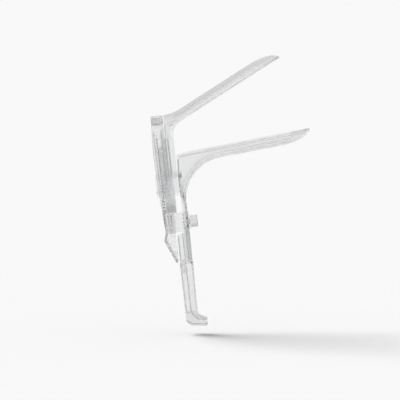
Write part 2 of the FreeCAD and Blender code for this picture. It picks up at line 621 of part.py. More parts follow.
def upper_form(offset):
    """The upper blade's whole form, from its arched root along the bill to the tip."""
    root_x, root_z = upper_rim_root()
    root = V(root_x, 0, root_z)
    direction = V(math.cos(OPEN_TILT), 0, math.sin(OPEN_TILT))
    up = V(-math.sin(OPEN_TILT), 0, math.cos(OPEN_TILT))
    half_width = CHEEK_OUT + offset * CHEEK_THICK / BLADE_WALL
    wires = []
    for x, top in ((ROOT_REAR_X, ROOT_TOP_Z), (ROOT_REAR_X + ROOT_FLAT, ROOT_TOP_Z + ROOT_RISE)):
        centre = V(x, 0, top - ROOT_DEPTH)
        wires.append(trough_wire(centre, V(0, 0, 1), half_width, ROOT_DEPTH + offset,
                                 ROOT_LEG - offset))
    wires += bill_wires(root, direction, up, UPPER_LENGTH, UPPER_DEPTH, ROOT_LENGTH, offset)
    return Part.makeLoft(wires, True, False)


def upper_shell():
    """Bill and arched root with the bead along its rim, without the cheeks."""
    outline = upper_side_outline()
    corner = outline[2]
    tip = outline[3]
    slope = math.tan(OPEN_TILT)
    start = (corner[0] + ROOT_SCOOP, corner[1] + ROOT_SCOOP * slope)
    band = side_plate([start, tip[:2], (tip[0], tip[1] + RIM_BAND), (start[0], start[1] + RIM_BAND)],
                      -FAR, FAR)
    bead = upper_form(RIM_LIP).common(band)
    nest = side_plate([corner[:2], tip, (tip[0], 0), (corner[0], 0)], -CHEEK_IN, CHEEK_IN)
    keep = side_plate(outline, -FAR, FAR).cut(nest)
    return upper_form(0).fuse(bead).cut(upper_form(-BLADE_WALL)).common(keep)


def upper_cheek():
    """One cheek, from the arched root down to its toothed round end."""
    outline = upper_side_outline()
    low = outline[0][1] + 10
    front = CHEEK_FRONT_X + 5
    cheek = side_plate([(CHEEK_REAR_X, low), (CHEEK_REAR_X, ROOT_TOP_Z - 16, 5),
                        (ROOT_REAR_X, ROOT_TOP_Z - 8, 3), (front, ROOT_TOP_Z - 4),
                        (front, low)], CHEEK_IN, CHEEK_OUT)
    tip = outline[3]
    cheek = cheek.common(side_plate([(-FAR, 0), (CHEEK_FRONT_X, 0)] + outline[2:4] + [(-FAR, tip[1])],
                                    -FAR, FAR))
    cheek = cheek.fuse(cylinder_y(HINGE_X, HINGE_Z, HINGE_BOSS_RADIUS, CHEEK_IN, CHEEK_OUT))
    sector = cylinder_y(HINGE_X, HINGE_Z, SECTOR_RADIUS, CHEEK_IN, CHEEK_OUT)
    below = box(-FAR, FAR, 0, FAR, 0, HINGE_Z - 12)
    cheek = cheek.cut(below).fuse(cheek.common(below).common(sector))
    cheek = cheek.cut(sector_grooves())
    cheek = cheek.cut(cylinder_y(HINGE_X, HINGE_Z, HINGE_PIN_RADIUS + RUNNING, 0, FAR))
    return cheek.fuse(cylinder_y(PEG_X, PEG_Z, PEG_RADIUS, ARM_IN, CHEEK_IN + 1))


def upper_blade():
    """Bill, arched root and the two cheeks that hang on the hinge."""
    half = upper_shell().common(box(-FAR, FAR, 0, FAR, 0, 2 * FAR)).fuse(upper_cheek())
    return half.fuse(mirrored(half)).removeSplitter()


def sector_grooves():
    """Ratchet teeth along the cheek's round lower end."""
    first = math.atan2(-SECTOR_RADIUS, CHEEK_REAR_X - HINGE_X)
    last = math.atan2(-SECTOR_RADIUS, CHEEK_FRONT_X - HINGE_X)
    step = SECTOR_PITCH / SECTOR_RADIUS
    count = int((last - first) / step)
    cuts = []
    for i in range(count):
        crest = first + step * (i + 0.3)
        root = SECTOR_RADIUS - SECTOR_TOOTH
        corners = []
        for turn, radius in ((crest, SECTOR_RADIUS + 0.3), (crest, root), (crest + step * 0.75, SECTOR_RADIUS + 0.3)):
            corners.append((HINGE_X + radius * math.cos(turn), HINGE_Z + radius * math.sin(turn)))
        cuts.append(side_plate(corners, CHEEK_IN - 1, CHEEK_OUT + 1))
    return Part.makeCompound(cuts)


def thumb_lever():
    """Arms from the hinge, the ribbed sill under the window and the thumb tab."""
    arm = side_plate([(HINGE_X - ARM_HALF_WIDTH, HINGE_Z), (SILL_REAR_X, SILL_LOW_Z + 1),
                      (SILL_FRONT_X, SILL_LOW_Z + 1), (SILL_FRONT_X, SILL_TOP_Z + 8, 40),
                      (HINGE_X + ARM_HALF_WIDTH, HINGE_Z)], ARM_IN, ARM_OUT)
    arm = arm.fuse(cylinder_y(HINGE_X, HINGE_Z, ARM_HALF_WIDTH, ARM_IN, ARM_OUT))
    arm = arm.cut(cylinder_y(PEG_X, PEG_Z, PEG_RADIUS + RUNNING, 0, FAR))
    arm = arm.cut(cylinder_y(HINGE_X, HINGE_Z, HINGE_PIN_RADIUS + RUNNING, 0, FAR))
    sill = box(SILL_REAR_X, SILL_FRONT_X, -ARM_OUT, ARM_OUT, SILL_LOW_Z, SILL_TOP_Z)
    bays = 4
    inner = 2 * ARM_IN
    bay = (inner - (bays - 1) * SILL_WALL) / bays
    pockets = []
    for i in range(bays):
        y = -ARM_IN + i * (bay + SILL_WALL)
        pockets.append(box(SILL_REAR_X - 1, SILL_FRONT_X - SILL_WALL, y, y + bay,
                           SILL_LOW_Z + SILL_WALL, SILL_TOP_Z - SILL_WALL))
    sill = sill.cut(Part.makeCompound(pockets))
    tab = softened(tab_plate(TAB_HALF_WIDTH), TAB_HALF_WIDTH, TAB_ROUND, SILL_LOW_Z)
    web_front = GRIP_REAR_X - 0.7
    web_top = BRIDGE_LOW_Z - 0.6
    web_low = TAB_LOW_Z + 1.3
    web = side_plate([(LEVER_REAR_X + 1, web_top), (web_front, web_top, 2), (web_front, web_low),
                      (TAB_TIP_REAR_X + 0.3, web_low), (LEVER_REAR_X + 0.2, TAB_KNEE_Z - 1.6)],
                     -TAB_WEB / 2, TAB_WEB / 2)
    return fuse(both_sides(arm) + [sill, tab, web])


def tab_plate(half_width):
    """Bent plate that runs behind the bridge and ends in the thumb tab."""
    rear = LEVER_REAR_X
    front = rear + LEVER_THICK
    knee = rear - TAB_KNEE_BACK
    shift = 0.6
    return side_plate([(rear, SILL_LOW_Z + SILL_WALL), (rear + shift, TAB_BEND_Z, 3),
                       (knee, TAB_KNEE_Z, 5), (TAB_TIP_REAR_X, TAB_LOW_Z, 0.8),
                       (TAB_TIP_FRONT_X, TAB_LOW_Z, 0.8), (knee + LEVER_THICK, TAB_KNEE_Z + 0.8, 4),
                       (front + shift, TAB_BEND_Z + 0.4, 3), (front, SILL_LOW_Z),
                       (SILL_REAR_X + 0.5, SILL_LOW_Z), (SILL_REAR_X + 0.5, SILL_LOW_Z + SILL_WALL)],
                      -half_width, half_width)


def hinge_pin():
    """Headed pin, fixed in the post, on which the upper blade swings."""
    shank = cylinder_y(HINGE_X, HINGE_Z, HINGE_PIN_RADIUS, ARM_IN, POST_OUT - HINGE_HEAD_HEIGHT)
    head = cylinder_y(HINGE_X, HINGE_Z, HINGE_HEAD_RADIUS, POST_OUT - HINGE_HEAD_HEIGHT, POST_OUT)
    return shank.fuse(head)


def angle_pawl():
    """Pawl under the toothed end of a cheek, on a peg of the post."""
    reach = SECTOR_RADIUS + PAWL_GAP
    turn = math.atan2(-SECTOR_RADIUS, CHEEK_REAR_X - HINGE_X) + 0.04
    tip = (HINGE_X + reach * math.cos(turn), HINGE_Z + reach * math.sin(turn))
    y0 = ARM_OUT + SIDE_GAP
    y1 = POST_IN - SIDE_GAP
    arm = side_plate([(PAWL_HUB_X - 2.6, PAWL_HUB_Z), (tip[0] - 3.0, tip[1] - 2.2, 1), (tip[0] - 0.4, tip[1]),
                      (tip[0] + 0.9, tip[1] - 0.5), (PAWL_HUB_X + 3.0, PAWL_HUB_Z)], y0, y1)
    tail = side_plate([(PAWL_HUB_X, PAWL_HUB_Z + 3.0), (PAWL_HUB_X - 4.6, PAWL_HUB_Z - 6.4, 0.8),
                       (PAWL_HUB_X - 3.0, PAWL_HUB_Z - 7.2, 0.8), (PAWL_HUB_X + 2.0, PAWL_HUB_Z - 2.4)],
                      y0, y1)
    hub = cylinder_y(PAWL_HUB_X, PAWL_HUB_Z, PAWL_HUB_RADIUS, y0, y1)
    bore = cylinder_y(PAWL_HUB_X, PAWL_HUB_Z, PAWL_PEG_RADIUS + RUNNING, 0, FAR)
    return fuse([hub, arm, tail]).cut(bore)


def slide_latch():
    """Latch in an ear's window, whose tip stands at the rack of the post."""
    tip_y = POST_OUT + PAWL_GAP
    back_y = EAR_IN + SIDE_GAP
    corners = [(back_y, LATCH_LOW_Z, 0.6), (EAR_OUT, LATCH_LOW_Z, 0.6), (EAR_OUT, LATCH_TOP_Z, 0.6),
               (tip_y, LATCH_TOP_Z), (tip_y, LATCH_TOP_Z - 0.6), (back_y, LATCH_TOP_Z - 2.2)]
    latch = front_plate(corners, LATCH_REAR_X, RACK_FRONT_X)
    pin_y, pin_z = latch_pin_place()
    return latch.cut(cylinder_x(pin_y, pin_z, LATCH_PIN_RADIUS + RUNNING, -FAR, FAR))


def latch_pin():
    """Pin through an ear's two rims, on which the latch tilts outwards."""
    pin_y, pin_z = latch_pin_place()
    return cylinder_x(pin_y, pin_z, LATCH_PIN_RADIUS, EAR_REAR_X + SEAT, LATCH_PIN_FRONT_X - SEAT)


def write(name, shape):
    shape.exportStep("parts/" + name + ".step")
    print(name, "solids", len(shape.Solids), "valid", shape.isValid(), "volume", round(shape.Volume))


os.makedirs("parts", exist_ok=True)
write("lower_blade", lower_blade())
write("handle_grip", handle_grip())
write("grip_pin", grip_pin())
write("lock_bush", lock_bush())
write("lock_knob", lock_knob())
write("clamp_shoe", clamp_shoe())
write("yoke_frame", yoke_frame())
write("yoke_cap", yoke_cap())
write("upper_blade", upper_blade())
write("thumb_lever", thumb_lever())
for name, piece in (("hinge_pin", hinge_pin()), ("angle_pawl", angle_pawl()),
                    ("slide_latch", slide_latch()), ("latch_pin", latch_pin())):
    write(name + "_left", piece)
    write(name + "_right", mirrored(piece))
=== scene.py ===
# %% [markdown]
# # A clear plastic bivalve speculum
#
# The object is a single-use medical instrument, moulded in clear acrylic. It has a lower blade on a
# handle, a yoke that slides in the handle, and an upper blade that swings on the yoke. Its forms and
# joints come from the CAD model, so this lesson is about the finish: how clear plastic gets visible
# edges, how a textured cap differs from a polished wall, how the fine lines of a mould are laid on
# a wall, and how a white set is lit.

# %% Load the model
import math

import bpy
from mathutils import Matrix, Vector


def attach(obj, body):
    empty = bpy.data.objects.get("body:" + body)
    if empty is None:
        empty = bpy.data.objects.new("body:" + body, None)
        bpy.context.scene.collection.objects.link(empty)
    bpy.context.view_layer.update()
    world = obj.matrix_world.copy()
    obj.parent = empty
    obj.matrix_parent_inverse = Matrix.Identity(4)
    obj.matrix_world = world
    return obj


MM = 0.001

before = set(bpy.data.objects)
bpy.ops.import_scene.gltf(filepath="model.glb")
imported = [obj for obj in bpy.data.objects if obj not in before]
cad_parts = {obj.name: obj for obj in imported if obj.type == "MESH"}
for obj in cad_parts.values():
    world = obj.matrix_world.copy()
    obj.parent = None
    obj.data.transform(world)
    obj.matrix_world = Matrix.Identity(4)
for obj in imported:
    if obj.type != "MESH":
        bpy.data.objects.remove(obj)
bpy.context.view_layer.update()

# %% [markdown]
# ## Shading the moulded walls
#
# The CAD surfaces arrive as small flat faces. A moulded wall is smooth, but its rims and steps are
# crisp. Smooth shading up to a limit angle keeps both, because only neighbouring faces that meet
# at less than this angle share their normals.

# %% Smooth the faces
CRISP_ANGLE = math.radians(28)

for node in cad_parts.values():
    node.data.shade_smooth()
    node.data.set_sharp_from_angle(angle=CRISP_ANGLE)
print("crisp from", round(math.degrees(CRISP_ANGLE)), "degrees")

# %% [markdown]
# ## Building a material from small steps
#
# Every finish here is a small network of shader nodes. It could be drawn by hand in the shader
# editor. Written out, a step that several finishes share is a helper: one adds a node, one works out
# a number from other nodes, and one takes a pattern to another range.

# %% Helpers for shader nodes
PATTERN_MIDDLE = (0.3, 0.7)


def add(tree, kind, **values):
    """Adds a shader node and sets its properties and input sockets by name."""
    node = tree.nodes.new(kind)
    for key, value in values.items():
        if key in node.bl_rna.properties.keys():
            setattr(node, key, value)
        else:
            node.inputs[key.replace("_", " ")].default_value = value
    return node


def compute(tree, operation, *sources):
    """A Math node whose sources are sockets to link or plain numbers to set."""
    node = add(tree, "ShaderNodeMath", operation=operation)
    for socket, source in zip(node.inputs, sources):
        if isinstance(source, bpy.types.NodeSocket):
            tree.links.new(source, socket)
        else:
            socket.default_value = source
    return node.outputs["Value"]


def remap(tree, source, low, high, span=PATTERN_MIDDLE, easing="LINEAR"):
    """Takes a span of a pattern, its middle if none is given, to the range from low to high."""
    node = add(tree, "ShaderNodeMapRange", interpolation_type=easing,
               From_Min=span[0], From_Max=span[1], To_Min=low, To_Max=high)
    tree.links.new(source, node.inputs["Value"])
    return node.outputs["Result"]


print("middle of a pattern:", PATTERN_MIDDLE)

# %% [markdown]
# ## Patterns in real millimetres
#
# A pattern could follow the piece's bounding box, but then it would stretch with every piece. Here
# it follows the object's own coordinates, so that a scratch has the size of a real scratch on a
# small pin and on a long blade alike.

# %% Helpers for patterns


def stretched_place(tree, stretch):
    """The object's own coordinates in metres, scaled along X, Y and Z."""
    place = add(tree, "ShaderNodeTexCoord")
    mapping = add(tree, "ShaderNodeMapping")
    mapping.inputs["Scale"].default_value = stretch
    tree.links.new(place.outputs["Object"], mapping.inputs["Vector"])
    return mapping.outputs["Vector"]


def noise(tree, feature, stretch=(1, 1, 1), detail=4.0):
    """Noise whose blotches are about one feature across, in metres."""
    texture = add(tree, "ShaderNodeTexNoise", Scale=1 / feature, Detail=detail)
    tree.links.new(stretched_place(tree, stretch), texture.inputs["Vector"])
    return texture.outputs["Fac"]


print("patterns are measured in metres, a millimetre is", MM)

# %% [markdown]
# ## Clear acrylic
#
# Clear acrylic bends light almost as much as glass (its index is 1.49). Looking straight through a
# wall, hardly any light is lost. Looking along a wall, light passes through much more plastic, which
# draws grey lines round every edge. Two things stand for that here. A thin grey absorption inside
# the plastic darkens every long way through it. A Layer Weight node mixes the tint of a wall seen
# face on with the tint of a wall seen from its side. A single tint would be quicker, but it would
# make all the edges disappear. Faint flow marks from the mould and fine rubbing marks break up the
# reflections. Both are drawn out along the height, because the handle is moulded and held that way.

# %% Clear acrylic
ACRYLIC_INDEX = 1.49
ABSORBED_PER_METRE = 9.0
GRAZING_BLEND = 0.15
FLOW_MARK = 9 * MM
FLOW_STRETCH = (1, 1, 0.35)
RUB_MARK = 0.35 * MM
RUB_STRETCH = (1, 1, 0.2)
RUB_SHARE = 0.08
MARK_DEPTH = 0.25 * MM
POLISHED = (0.01, 0.05)


def edge_tint(tree, face_on, edge_on):
    """The tint of a wall seen face on, turning into the tint of a wall seen from its side."""
    weight = add(tree, "ShaderNodeLayerWeight", Blend=GRAZING_BLEND)
    tint = add(tree, "ShaderNodeMix", data_type="RGBA")
    tint.inputs["A"].default_value = (*face_on, 1)
    tint.inputs["B"].default_value = (*edge_on, 1)
    tree.links.new(weight.outputs["Facing"], tint.inputs["Factor"])
    return tint.outputs["Result"]


def clear_acrylic(name, face_on, edge_on=None, rough=POLISHED, bump=0.03,
                  absorbed=ABSORBED_PER_METRE):
    """Clear plastic: tints face on and edge on, range of roughness, strength of the marks."""
    material = bpy.data.materials.new(name)
    material.use_nodes = True
    tree = material.node_tree
    shader = tree.nodes["Principled BSDF"]
    shader.inputs["Transmission Weight"].default_value = 1.0
    shader.inputs["IOR"].default_value = ACRYLIC_INDEX
    shader.inputs["Base Color"].default_value = (*face_on, 1)
    if edge_on is not None:
        tree.links.new(edge_tint(tree, face_on, edge_on), shader.inputs["Base Color"])
    flow = noise(tree, FLOW_MARK, stretch=FLOW_STRETCH)
    rub = noise(tree, RUB_MARK, stretch=RUB_STRETCH, detail=2.0)
    tree.links.new(remap(tree, flow, *rough), shader.inputs["Roughness"])
    marks = add(tree, "ShaderNodeBump", name="marks", Strength=bump, Distance=MARK_DEPTH)
    tree.links.new(compute(tree, "MULTIPLY_ADD", rub, RUB_SHARE, flow), marks.inputs["Height"])
    tree.links.new(marks.outputs["Normal"], shader.inputs["Normal"])
    body = add(tree, "ShaderNodeVolumeAbsorption", Color=(0, 0, 0, 1), Density=absorbed)
    tree.links.new(body.outputs["Volume"], tree.nodes["Material Output"].inputs["Volume"])
    return material


print("index", ACRYLIC_INDEX, "absorbed per metre", ABSORBED_PER_METRE)

# %% [markdown]
# ## The blades and the handle
#
# Both blades are thin shells, polished in the mould so that they slide over tissue and can be seen
# through. They are the clearest pieces. The handle's channel is moulded in one with the lower blade
# and shares its polish. The grip is a moulding of its own, and hands leave it a little rougher. All
# tints are greys with a trace of blue, as clear acrylic has in a thick block.

# %% Blades and handle
GRIP_ROUGH = (0.02, 0.12)
BLADE_MARKS = 0.012


def cool_grey(level):
    """A grey with a trace of blue."""
    return (level, level + 0.002, level + 0.005)


def dress(pieces, finish):
    """Gives each of these pieces one finish."""
    for piece in pieces:
        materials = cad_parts[piece].data.materials
        materials.clear()
        materials.append(finish)
    print(finish.name, "on", ", ".join(pieces))


WATER_WHITE = cool_grey(0.925)
EDGE_GREY = cool_grey(0.75)

blade_finish = clear_acrylic("polished_acrylic", WATER_WHITE, EDGE_GREY, bump=BLADE_MARKS)
dress(["lower_blade", "upper_blade"], blade_finish)
dress(["handle_grip", "grip_pin"],
      clear_acrylic("handled_acrylic", WATER_WHITE, EDGE_GREY, rough=GRIP_ROUGH))

# %% [markdown]
# ## The yoke and the thumb lever
#
# The yoke's posts carry ratchet teeth and the lever's sill is full of small pockets. Each of these
# small walls bends what lies behind it, so that the middle of the object looks busy and a little
# darker. Waves in the bump stand for them: one wave along the height has the pitch of the teeth, and
# one across has the pitch of the pockets. An uneven noise keeps the pattern from looking drawn. The
# waves could be modelled, but that would take very many small faces for something this shallow.

# %% Yoke and lever
TOOTH_PITCH = 1.7 * MM
POCKET_PITCH = 2.4 * MM
UNEVEN = 1.6 * MM
RIB_HEIGHT = 0.3 * MM
MOULDED_ROUGH = (0.02, 0.10)
PALE_GREY = cool_grey(0.95)
LEVER_GREY = cool_grey(0.92)


def own_axes(tree):
    """The object's own X, Y and Z in metres, each as a socket."""
    axes = add(tree, "ShaderNodeSeparateXYZ")
    tree.links.new(add(tree, "ShaderNodeTexCoord").outputs["Object"], axes.inputs["Vector"])
    return axes.outputs


def wave_along(tree, coordinate, pitch):
    """A wave from -1 to 1 along one coordinate, once per pitch."""
    return compute(tree, "SINE", compute(tree, "MULTIPLY", coordinate, 2 * math.pi / pitch))


def relief_over(material, height, strength, depth):
    """Lays a stronger relief over the plastic's own marks."""
    tree = material.node_tree
    relief = add(tree, "ShaderNodeBump", Strength=strength, Distance=depth)
    tree.links.new(height, relief.inputs["Height"])
    tree.links.new(tree.nodes["marks"].outputs["Normal"], relief.inputs["Normal"])
    tree.links.new(relief.outputs["Normal"], tree.nodes["Principled BSDF"].inputs["Normal"])


def ribbed_acrylic(name, tint, across, strength):
    """Clear plastic with ribs along the height, ribs across by a share, and an uneven surface."""
    material = clear_acrylic(name, tint, EDGE_GREY, rough=MOULDED_ROUGH)
    tree = material.node_tree
    axes = own_axes(tree)
    teeth = wave_along(tree, axes["Z"], TOOTH_PITCH)
    pockets = wave_along(tree, axes["X"], POCKET_PITCH)
    ribs = compute(tree, "MULTIPLY_ADD", pockets, across, teeth)
    patches = remap(tree, noise(tree, UNEVEN, detail=2.0), 0.0, 1.0)
    relief_over(material, compute(tree, "MULTIPLY", ribs, patches), strength, RIB_HEIGHT)
    return material


dress(["yoke_frame"], ribbed_acrylic("ribbed_acrylic", PALE_GREY, across=0.4, strength=0.3))
dress(["thumb_lever"], ribbed_acrylic("pocketed_acrylic", LEVER_GREY, across=1.0, strength=0.7))
print("teeth every", round(TOOTH_PITCH / MM, 1), "mm")

# %% [markdown]
# ## The textured cap
#
# The cap over the window is spark-eroded in the mould, so that a finger doesn't slip on it. That
# leaves a grain of pits just under a millimetre across, which scatters light. So a share of the
# surface is no longer clear, and uneven blotches change how much light comes back from it. A frosted
# finish could be made with roughness alone, but then the cap would only look blurred, not mottled.

# %% Textured cap
GRAIN = 0.8 * MM
PIT_DEPTH = 0.2 * MM
PIT_GREY = cool_grey(0.84)
BLOTCH = 1.2 * MM
BLOTCH_SPAN = (0.4, 0.6)
CAP_ROUGH = (0.06, 0.16)
CAP_CLEARNESS = 0.7
CAP_ABSORBED = 1.0


def grained_acrylic(name):
    """Plastic that is clear only in part, with blotches and an eroded grain."""
    material = clear_acrylic(name, PIT_GREY, rough=CAP_ROUGH, absorbed=CAP_ABSORBED)
    tree = material.node_tree
    shader = tree.nodes["Principled BSDF"]
    shader.inputs["Transmission Weight"].default_value = CAP_CLEARNESS
    mottled = add(tree, "ShaderNodeMix", data_type="RGBA")
    mottled.inputs["A"].default_value = (*PIT_GREY, 1)
    mottled.inputs["B"].default_value = (1, 1, 1, 1)
    blotches = remap(tree, noise(tree, BLOTCH, detail=3.0), 0.0, 1.0, span=BLOTCH_SPAN)
    tree.links.new(blotches, mottled.inputs["Factor"])
    tree.links.new(mottled.outputs["Result"], shader.inputs["Base Color"])
    pits = add(tree, "ShaderNodeTexVoronoi", Scale=1 / GRAIN)
    tree.links.new(stretched_place(tree, (1, 1, 1)), pits.inputs["Vector"])
    relief_over(material, pits.outputs["Distance"], 0.3, PIT_DEPTH)
    return material


dress(["yoke_cap"], grained_acrylic("eroded_acrylic"))
print("grain of", round(GRAIN / MM, 2), "mm")

# %% [markdown]
# ## Screw, pins, pawls and latches
#
# The small pieces are moulded in the same clear plastic. The lock screw's thread is far finer than
# the rest, so a wave pattern along its axis raises and lowers the surface once per turn of the
# thread, only where the shank is. The knob is tinted a darker grey than the other pieces: painted
# shade for the darker look that its thread gives it.

# %% Small pieces
THREAD_PITCH = 1.0 * MM
THREAD_DEPTH = 0.4 * MM
SHANK_END_X = 9.0 * MM
# The knob's darker grey is painted shade for the darker look its thread gives it.
KNOB_SHADE_GREY = cool_grey(0.8)
PAIRED_PIECES = ("hinge_pin", "angle_pawl", "slide_latch", "latch_pin")


def threaded_acrylic(name):
    """Clear plastic with thread rings on the part behind the knob's face."""
    material = clear_acrylic(name, KNOB_SHADE_GREY, EDGE_GREY)
    tree = material.node_tree
    along = own_axes(tree)["X"]
    on_the_shank = compute(tree, "LESS_THAN", along, SHANK_END_X)
    thread = compute(tree, "MULTIPLY", wave_along(tree, along, THREAD_PITCH), on_the_shank)
    relief_over(material, thread, 0.9, THREAD_DEPTH)
    return material


dress(["lock_knob"], threaded_acrylic("screw_acrylic"))
paired = [piece + "_" + end for end in ("left", "right") for piece in PAIRED_PIECES]
dress(["lock_bush", "clamp_shoe"] + paired,
      clear_acrylic("small_part_acrylic", PALE_GREY, EDGE_GREY, rough=MOULDED_ROUGH))

# %% [markdown]
# ## Finding the wall under a line
#
# The parting lines and the fillets under the rims of a moulding stand a fraction of a millimetre
# proud of its walls. They are known from the side view, as distances along the object and up it, but
# not how far they lie from the middle. That could be typed in for every point. Here a ray from the
# side finds the wall, so that the line stays on it wherever the wall bends.

# %% Find the wall
FAR_OUT = 60 * MM


def on_the_wall(piece, x, z, side, inside):
    """A piece's outer face at x and z, or its face towards the middle of the object."""
    start = Vector((x, 0 if inside else side * FAR_OUT, z))
    travel = Vector((0, side if inside else -side, 0))
    to_piece = piece.matrix_world.inverted()
    hit, place, _, _ = piece.ray_cast(to_piece @ start, to_piece.to_3x3() @ travel)
    return piece.matrix_world @ place if hit else None


def spaced_points(corners, step):
    """Points at equal steps along a line of corners given in millimetres."""
    points = []
    for (x0, z0), (x1, z1) in zip(corners, corners[1:]):
        count = max(1, round(math.hypot(x1 - x0, z1 - z0) * MM / step))
        for i in range(count):
            points.append(Vector((x0 + (x1 - x0) * i / count, z0 + (z1 - z0) * i / count)) * MM)
    return points + [Vector(corners[-1]) * MM]


print("rays start", round(FAR_OUT / MM), "mm from the middle")

# %% [markdown]
# ## Mould lines
#
# In clear plastic a thin rounded bead works as a small lens, and it is what the eye reads as a drawn
# line. Each bead is a thin tube, a curve with a round bevel, because a curve takes its radius point
# by point and needs no modelling. Its middle lies on the wall, so that half of it is sunk. A line
# inside a wall is sunk deeper, and it keeps to one wall where a ray would find another one behind.

# %% Mould lines
BEAD_RADIUS = 0.42 * MM
FINE_RADIUS = 0.3 * MM
BEAD_STEP = 3 * MM
SAME_WALL = 2 * MM
RIGHT_SIDE = ((-1, "right"),)
BOTH_SIDES = ((1, "left"), (-1, "right"))

# Two finishes of painted shade: clear plastic tinted a darker grey, so that a tube reads as the dark
# line or dot that an edge, a core or a rack tooth makes by bending light. The first is the deeper shade,
# the second the fainter one.
deep_shade_finish = clear_acrylic("deep_shade_acrylic", cool_grey(0.55))
faint_shade_finish = clear_acrylic("faint_shade_acrylic", cool_grey(0.8))


def tube(name, places, radius, swell, finish):
    """A round tube through the places, whose radius follows the swell."""
    curve = bpy.data.curves.new(name, "CURVE")
    curve.dimensions = "3D"
    curve.bevel_depth = radius
    curve.bevel_resolution = 3
    curve.use_fill_caps = True
    line = curve.splines.new("POLY")
    line.points.add(len(places) - 1)
    for i, place in enumerate(places):
        line.points[i].co = (*place, 1)
        line.points[i].radius = swell[i % len(swell)]
    curve.materials.append(finish)
    bead = bpy.data.objects.new(name, curve)
    bpy.context.scene.collection.objects.link(bead)
    return bead


def mould_line(name, node, body, corners, finish, radius=BEAD_RADIUS, step=BEAD_STEP, inside=False,
               swell=(1.0,), sink=0.0, sides=BOTH_SIDES):
    """Lays a tube on a piece's wall along a line seen from the side, on each of the sides."""
    for side, end in sides:
        places = [on_the_wall(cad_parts[node], point.x, point.y, side, inside)
                  for point in spaced_points(corners, step)]
        places = [place for place in places if place is not None]
        if inside or sink:
            outer = max(abs(place.y) for place in places)
            places = [place for place in places if abs(place.y) > outer - SAME_WALL]
        into_wall = Vector((0, side * sink if inside else -side * sink, 0))
        bead = tube(name + "_" + end, [place + into_wall for place in places], radius, swell, finish)
        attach(bead, body)
    print(name, "laid on", " and ".join(end for _, end in sides), "through", len(places), "points")


print("beads", round(2 * BEAD_RADIUS / MM, 2), "mm thick, fine ones", round(2 * FINE_RADIUS / MM, 2))

# %% [markdown]
# ## Where the lines of the lower blade run
#
# The lower blade has a line under its rim and one where its floor meets the wall. The second one goes
# round the throat and down into the handle, and three more run down the handle's channel. Two fine
# ones follow the front edge of the handle's web, on its inner face, and the underside of the floor.
# All of them could be modelled by hand on the mesh. Here they are given as a few corners in
# millimetres, measured along the blade and below its rim, or along X and up Z on the handle, because
# that is how they can be read from a side view.

# %% Lines on the lower blade
LOWER_ROOT = (3.2, 146.0)
LOWER_TILT = 4.9
THROAT_CENTRE = (44.0, 102.7)
THROAT_LINE_RADIUS = 38.7
RIM = [(2.2, 2.9), (60, 2.9), (102, 2.9), (109, 2.6), (113, 1.8)]
THROAT_ANGLES = [176, 165, 150, 135, 120, 105]
FLOOR_CORNER = [(42, 8.1), (92, 8.1), (101, 7.4), (108, 5.6)]
CHANNEL_LINES = (("rear", -2.5, 54, 75), ("middle", 1.55, 54, 80), ("front", 4.6, 54, 84))
WEB_EDGE = [(4.3, 141), (3.2, 126), (4.0, 108), (3.4, 99)]
FLOOR_EDGE = [(48, 9.4), (90, 9.4), (98, 8.6)]


def along_bill(root, degrees, steps):
    """Places in millimetres from (distance from the root, distance below the rim)."""
    ahead = Vector((math.cos(math.radians(degrees)), math.sin(math.radians(degrees))))
    below = Vector((ahead.y, -ahead.x))
    return [tuple(Vector(root) + ahead * s + below * d) for s, d in steps]


def round_throat(centre, radius, angles):
    """Places in millimetres on the throat's curve."""
    turns = [math.radians(angle) for angle in angles]
    return [(centre[0] + radius * math.cos(turn), centre[1] + radius * math.sin(turn)) for turn in turns]


mould_line("rim_bead", "lower_blade", "handle", along_bill(LOWER_ROOT, LOWER_TILT, RIM), blade_finish)
mould_line("floor_bead", "lower_blade", "handle",
           round_throat(THROAT_CENTRE, THROAT_LINE_RADIUS, THROAT_ANGLES)
           + along_bill(LOWER_ROOT, LOWER_TILT, FLOOR_CORNER), blade_finish)
# The three channel lines and the line under the floor are tinted with the fainter painted shade, and the
# line at the web's edge with the deeper one.
for end, x, low, high in CHANNEL_LINES:
    mould_line("channel_bead_" + end, "lower_blade", "handle", [(x, low), (x, high)], faint_shade_finish)
mould_line("web_edge_bead", "lower_blade", "handle", WEB_EDGE, deep_shade_finish,
           radius=FINE_RADIUS, inside=True)
mould_line("floor_edge_bead", "lower_blade", "handle",
           along_bill(LOWER_ROOT, LOWER_TILT, FLOOR_EDGE), faint_shade_finish, radius=FINE_RADIUS)

# %% [markdown]
# ## The line along the grip
#
# The two faces of the grip meet in a line that bends forward into the foot. It follows the foot's
# own curve, so its corners lie closer together there.

# %% Lines on the grip and its foot
GRIP_LINE = [(1.5, 48.5), (1.7, 11), (2.6, 7.6), (4.6, 5.0), (7.5, 3.4), (13.6, 2.3)]

# The grip's line is tinted with the fainter painted shade.
mould_line("grip_bead", "handle_grip", "handle", GRIP_LINE, faint_shade_finish)

# %% [markdown]
# ## Where the lines of the upper blade run
#
# The upper blade has the same kind of rim, and a fine line where its roof turns into the wall. The
# beads ride on the upper blade's body, so that they swing with it when the joint is moved.

# %% Lines on the upper blade
UPPER_ROOT = (8.1, 171.9)
UPPER_TILT = 26.6
UPPER_RIM = [(12, -2.0), (60, -2.0), (95, -2.0), (101, -1.7)]
UPPER_ROOF = [(12, -6.0), (60, -6.0), (86, -5.8), (96, -4.6)]

mould_line("upper_rim_bead", "upper_blade", "upper",
           along_bill(UPPER_ROOT, UPPER_TILT, UPPER_RIM), blade_finish)
mould_line("upper_roof_bead", "upper_blade", "upper",
           along_bill(UPPER_ROOT, UPPER_TILT, UPPER_ROOF), blade_finish, radius=FINE_RADIUS)
